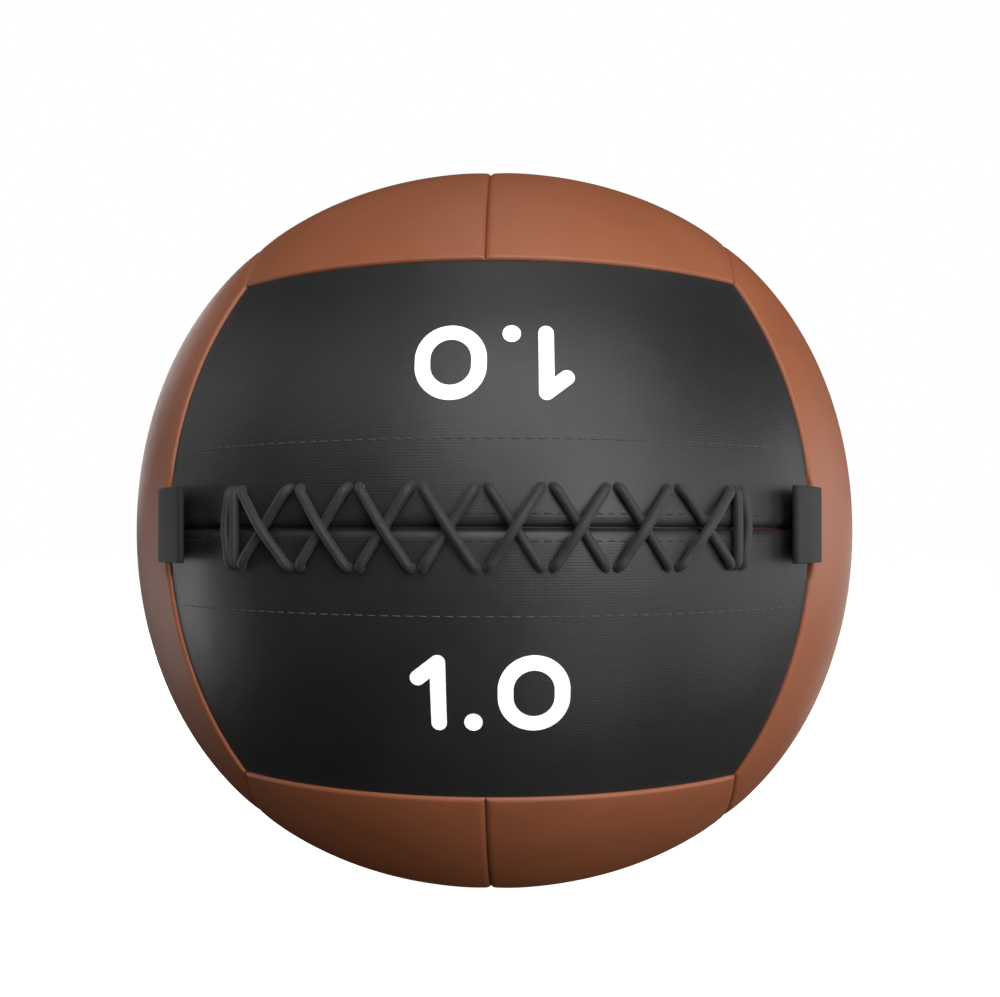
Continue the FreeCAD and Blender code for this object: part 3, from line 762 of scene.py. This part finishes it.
def strap_line():
    """Middle line of the strap: up one side of the seam, along the tab, round its end and back."""
    half_ply = TAB_PLY / 2
    bend = (TAB_PLY, -TAB_PLY)
    end = (TAB_LENGTH * math.cos(TAB_TILT), TAB_LENGTH * math.sin(TAB_TILT))
    fold = half_ply + TAB_EYE
    under = touching(bend, half_ply, end, -fold)
    over = touching(bend, TAB_PLY + half_ply, end, fold)
    depth = TAB_ROOT - TAB_HINGE
    seam = np.array([depth + share * (-TAB_PLY - depth) for share in (0, 0.35, 0.7)])
    first_bend = arc(bend, half_ply, 180, 90 + under, 8)
    end_fold = arc(end, fold, under - 90, over + 90, 17)
    last_bend = arc(bend, TAB_PLY + half_ply, over + 90, 180, 12)
    line = [(half_ply, out) for out in seam] + first_bend + between(first_bend[-1], end_fold[0])
    line += end_fold + between(end_fold[-1], last_bend[0], TAB_DOME) + last_bend
    return np.array(line + [(-half_ply, out) for out in seam[::-1]])


def between(start, stop, dome=0.0):
    """Places on the stretch between two bends, which rises by the dome at its middle."""
    places = []
    for share in (0.1, 0.3, 0.5, 0.7, 0.9):
        run, out = (a + (b - a) * share for a, b in zip(start, stop))
        places.append((run, out + dome * math.sin(math.pi * share)))
    return places


def strap_section(thickness, width, edge, count):
    """Outline of flat webbing: half its thickness and height, round at both edges."""
    outline = []
    for sign in (1, -1):
        turns = np.linspace(0, math.pi, count)
        top = width / 2 - edge
        outline += [
            (sign * thickness / 2 * math.cos(turn), sign * (top + edge * math.sin(turn))) for turn in turns
        ]
        outline += [(-sign * thickness / 2, sign * top * share) for share in (0.5, 0)]
    return outline


def pull_tab(name, side):
    """A strap folded in two, whose ends go down into the seam."""
    line = strap_line()
    radial = Vector((side * math.sin(SEAM_HEADING), -math.cos(SEAM_HEADING), 0))
    inward = Vector((-side * math.cos(SEAM_HEADING), -math.sin(SEAM_HEADING), 0))
    hinge = radial * TAB_HINGE + Vector((0, 0, TAB_RISE))
    section = strap_section(TAB_PLY - PLY_GAP, TAB_WIDTH, TAB_EDGE, 9)
    tangents = np.gradient(line, axis=0)
    tangents /= np.linalg.norm(tangents, axis=1, keepdims=True)
    lengths = np.concatenate([[0], np.cumsum(np.linalg.norm(np.diff(line, axis=0), axis=1))])
    points = []
    for (along_tab, out), (run, rise) in zip(line, tangents):
        for offset, height in section:
            place = hinge + inward * (along_tab - rise * offset) + radial * (out + run * offset)
            points.append(place + Vector((0, 0, height)))
    rows, columns = len(line), len(section)
    faces = grid_faces(rows, columns, closed=True)
    uv = []
    for row in range(rows - 1):
        for column in range(columns):
            near, far = section[column][1], section[(column + 1) % columns][1]
            uv += corners_of(lengths[row], lengths[row + 1], near, far)
    faces.append(tuple(reversed(range(columns))))
    faces.append(tuple((rows - 1) * columns + column for column in range(columns)))
    uv += [(0.0, height) for _, height in section] * 2
    if side < 0:
        faces = [tuple(reversed(face)) for face in faces]
        uv = uv_reversed(uv, faces)
    piece = new_piece(f"{name}_strap", points, faces, "webbing", uv=uv)
    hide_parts(name, name.replace("pull_tab", "tab_root"))
    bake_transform(piece)
    return piece


def uv_reversed(uv, faces):
    """Thread coordinates for faces whose corners were put in reverse order."""
    turned, start = [], 0
    for face in faces:
        turned += reversed(uv[start : start + len(face)])
        start += len(face)
    return turned


for word, side in (("left", -1), ("right", 1)):
    pull_tab(f"{word}_pull_tab", side)

# ---------------------------------------------------------------- stage, light and camera


FLOOR_REACH = 6.0
LIGHT_DISTANCE = 1.2  # from the ball's centre
LIGHT_SIZE = 0.55
CAMERA_DISTANCE = 2.67 * BROWN
CAMERA_LENS = 31.9
CAMERA_SHIFT = (0.0055, 0.032)
CAMERA_AZIMUTH, CAMERA_ELEVATION = math.radians(1.37), math.radians(-0.35)


def floor():
    """A white floor at the ball's lowest point, which shines but doesn't light or shade the ball."""
    corners = [(x * FLOOR_REACH, y * FLOOR_REACH) for x, y in ((-1, -1), (1, -1), (1, 1), (-1, 1))]
    mesh = bpy.data.meshes.new("floor")
    mesh.from_pydata([(x, y, -BROWN) for x, y in corners], [], [(0, 1, 2, 3)])
    finish = Finish("pale_floor", Roughness=1.0, Specular_IOR_Level=0.0)
    finish.shader.inputs["Emission Color"].default_value = rgb(1, 1, 1)
    finish.shader.inputs["Emission Strength"].default_value = 1.0
    mesh.materials.append(finish.material)
    plane = bpy.data.objects.new("floor", mesh)
    bpy.context.scene.collection.objects.link(plane)
    plane.visible_diffuse = False
    plane.visible_glossy = False
    plane.visible_shadow = False


def softbox(name, azimuth, elevation, watts):
    """A soft square light that looks at the ball's centre."""
    lamp = bpy.data.lights.new(name, "AREA")
    lamp.size = LIGHT_SIZE
    lamp.energy = watts
    holder = bpy.data.objects.new(name, lamp)
    direction = Vector(heading(math.radians(azimuth), math.radians(elevation)))
    holder.location = direction * LIGHT_DISTANCE
    holder.rotation_euler = direction.to_track_quat("Z", "Y").to_euler()
    bpy.context.scene.collection.objects.link(holder)


def backdrop():
    """A white world that is seen but gives no light."""
    world = bpy.data.worlds.new("white")
    world.use_nodes = True
    world.node_tree.nodes["Background"].inputs["Color"].default_value = rgb(1, 1, 1)
    world.cycles_visibility.diffuse = False
    world.cycles_visibility.glossy = False
    bpy.context.scene.world = world


def camera():
    """A camera close in front of the ball."""
    lens = bpy.data.cameras.new("camera")
    lens.sensor_width = 36.0
    lens.lens = CAMERA_LENS
    lens.shift_x, lens.shift_y = CAMERA_SHIFT
    lens.clip_start = 0.01
    holder = bpy.data.objects.new("camera", lens)
    direction = Vector(heading(CAMERA_AZIMUTH, CAMERA_ELEVATION))
    holder.location = direction * CAMERA_DISTANCE
    holder.rotation_euler = direction.to_track_quat("Z", "Y").to_euler()
    bpy.context.scene.collection.objects.link(holder)
    bpy.context.scene.camera = holder


SOFTBOXES = [  # name, azimuth, elevation, watts
    ("key", 30, 5, 5.4),
    ("key_high", 30, 35, 3.5),
    ("key_low", 30, -35, 1.7),
    ("front_high", 0, 35, 5.6),
    ("front", 0, 5, 0.7),
    ("right_fill", 65, 5, 1.9),
    ("right_low", 75, -20, 1.4),
    ("left_high", -50, 35, 1.0),
    ("left_rim", -103, -10, 2.1),
    ("left_rim_high", -95, 25, 0.8),
    ("right_rim", 103, 3, 2.4),
    ("top", 0, 85, 1.0),
    ("rear", 180, 5, 6.0),
    ("rear_left", 215, 15, 4.0),
    ("rear_right", 145, -10, 2.0),
]
floor()
backdrop()
camera()
for box in SOFTBOXES:
    softbox(*box)
bpy.context.scene.view_settings.view_transform = "Standard"
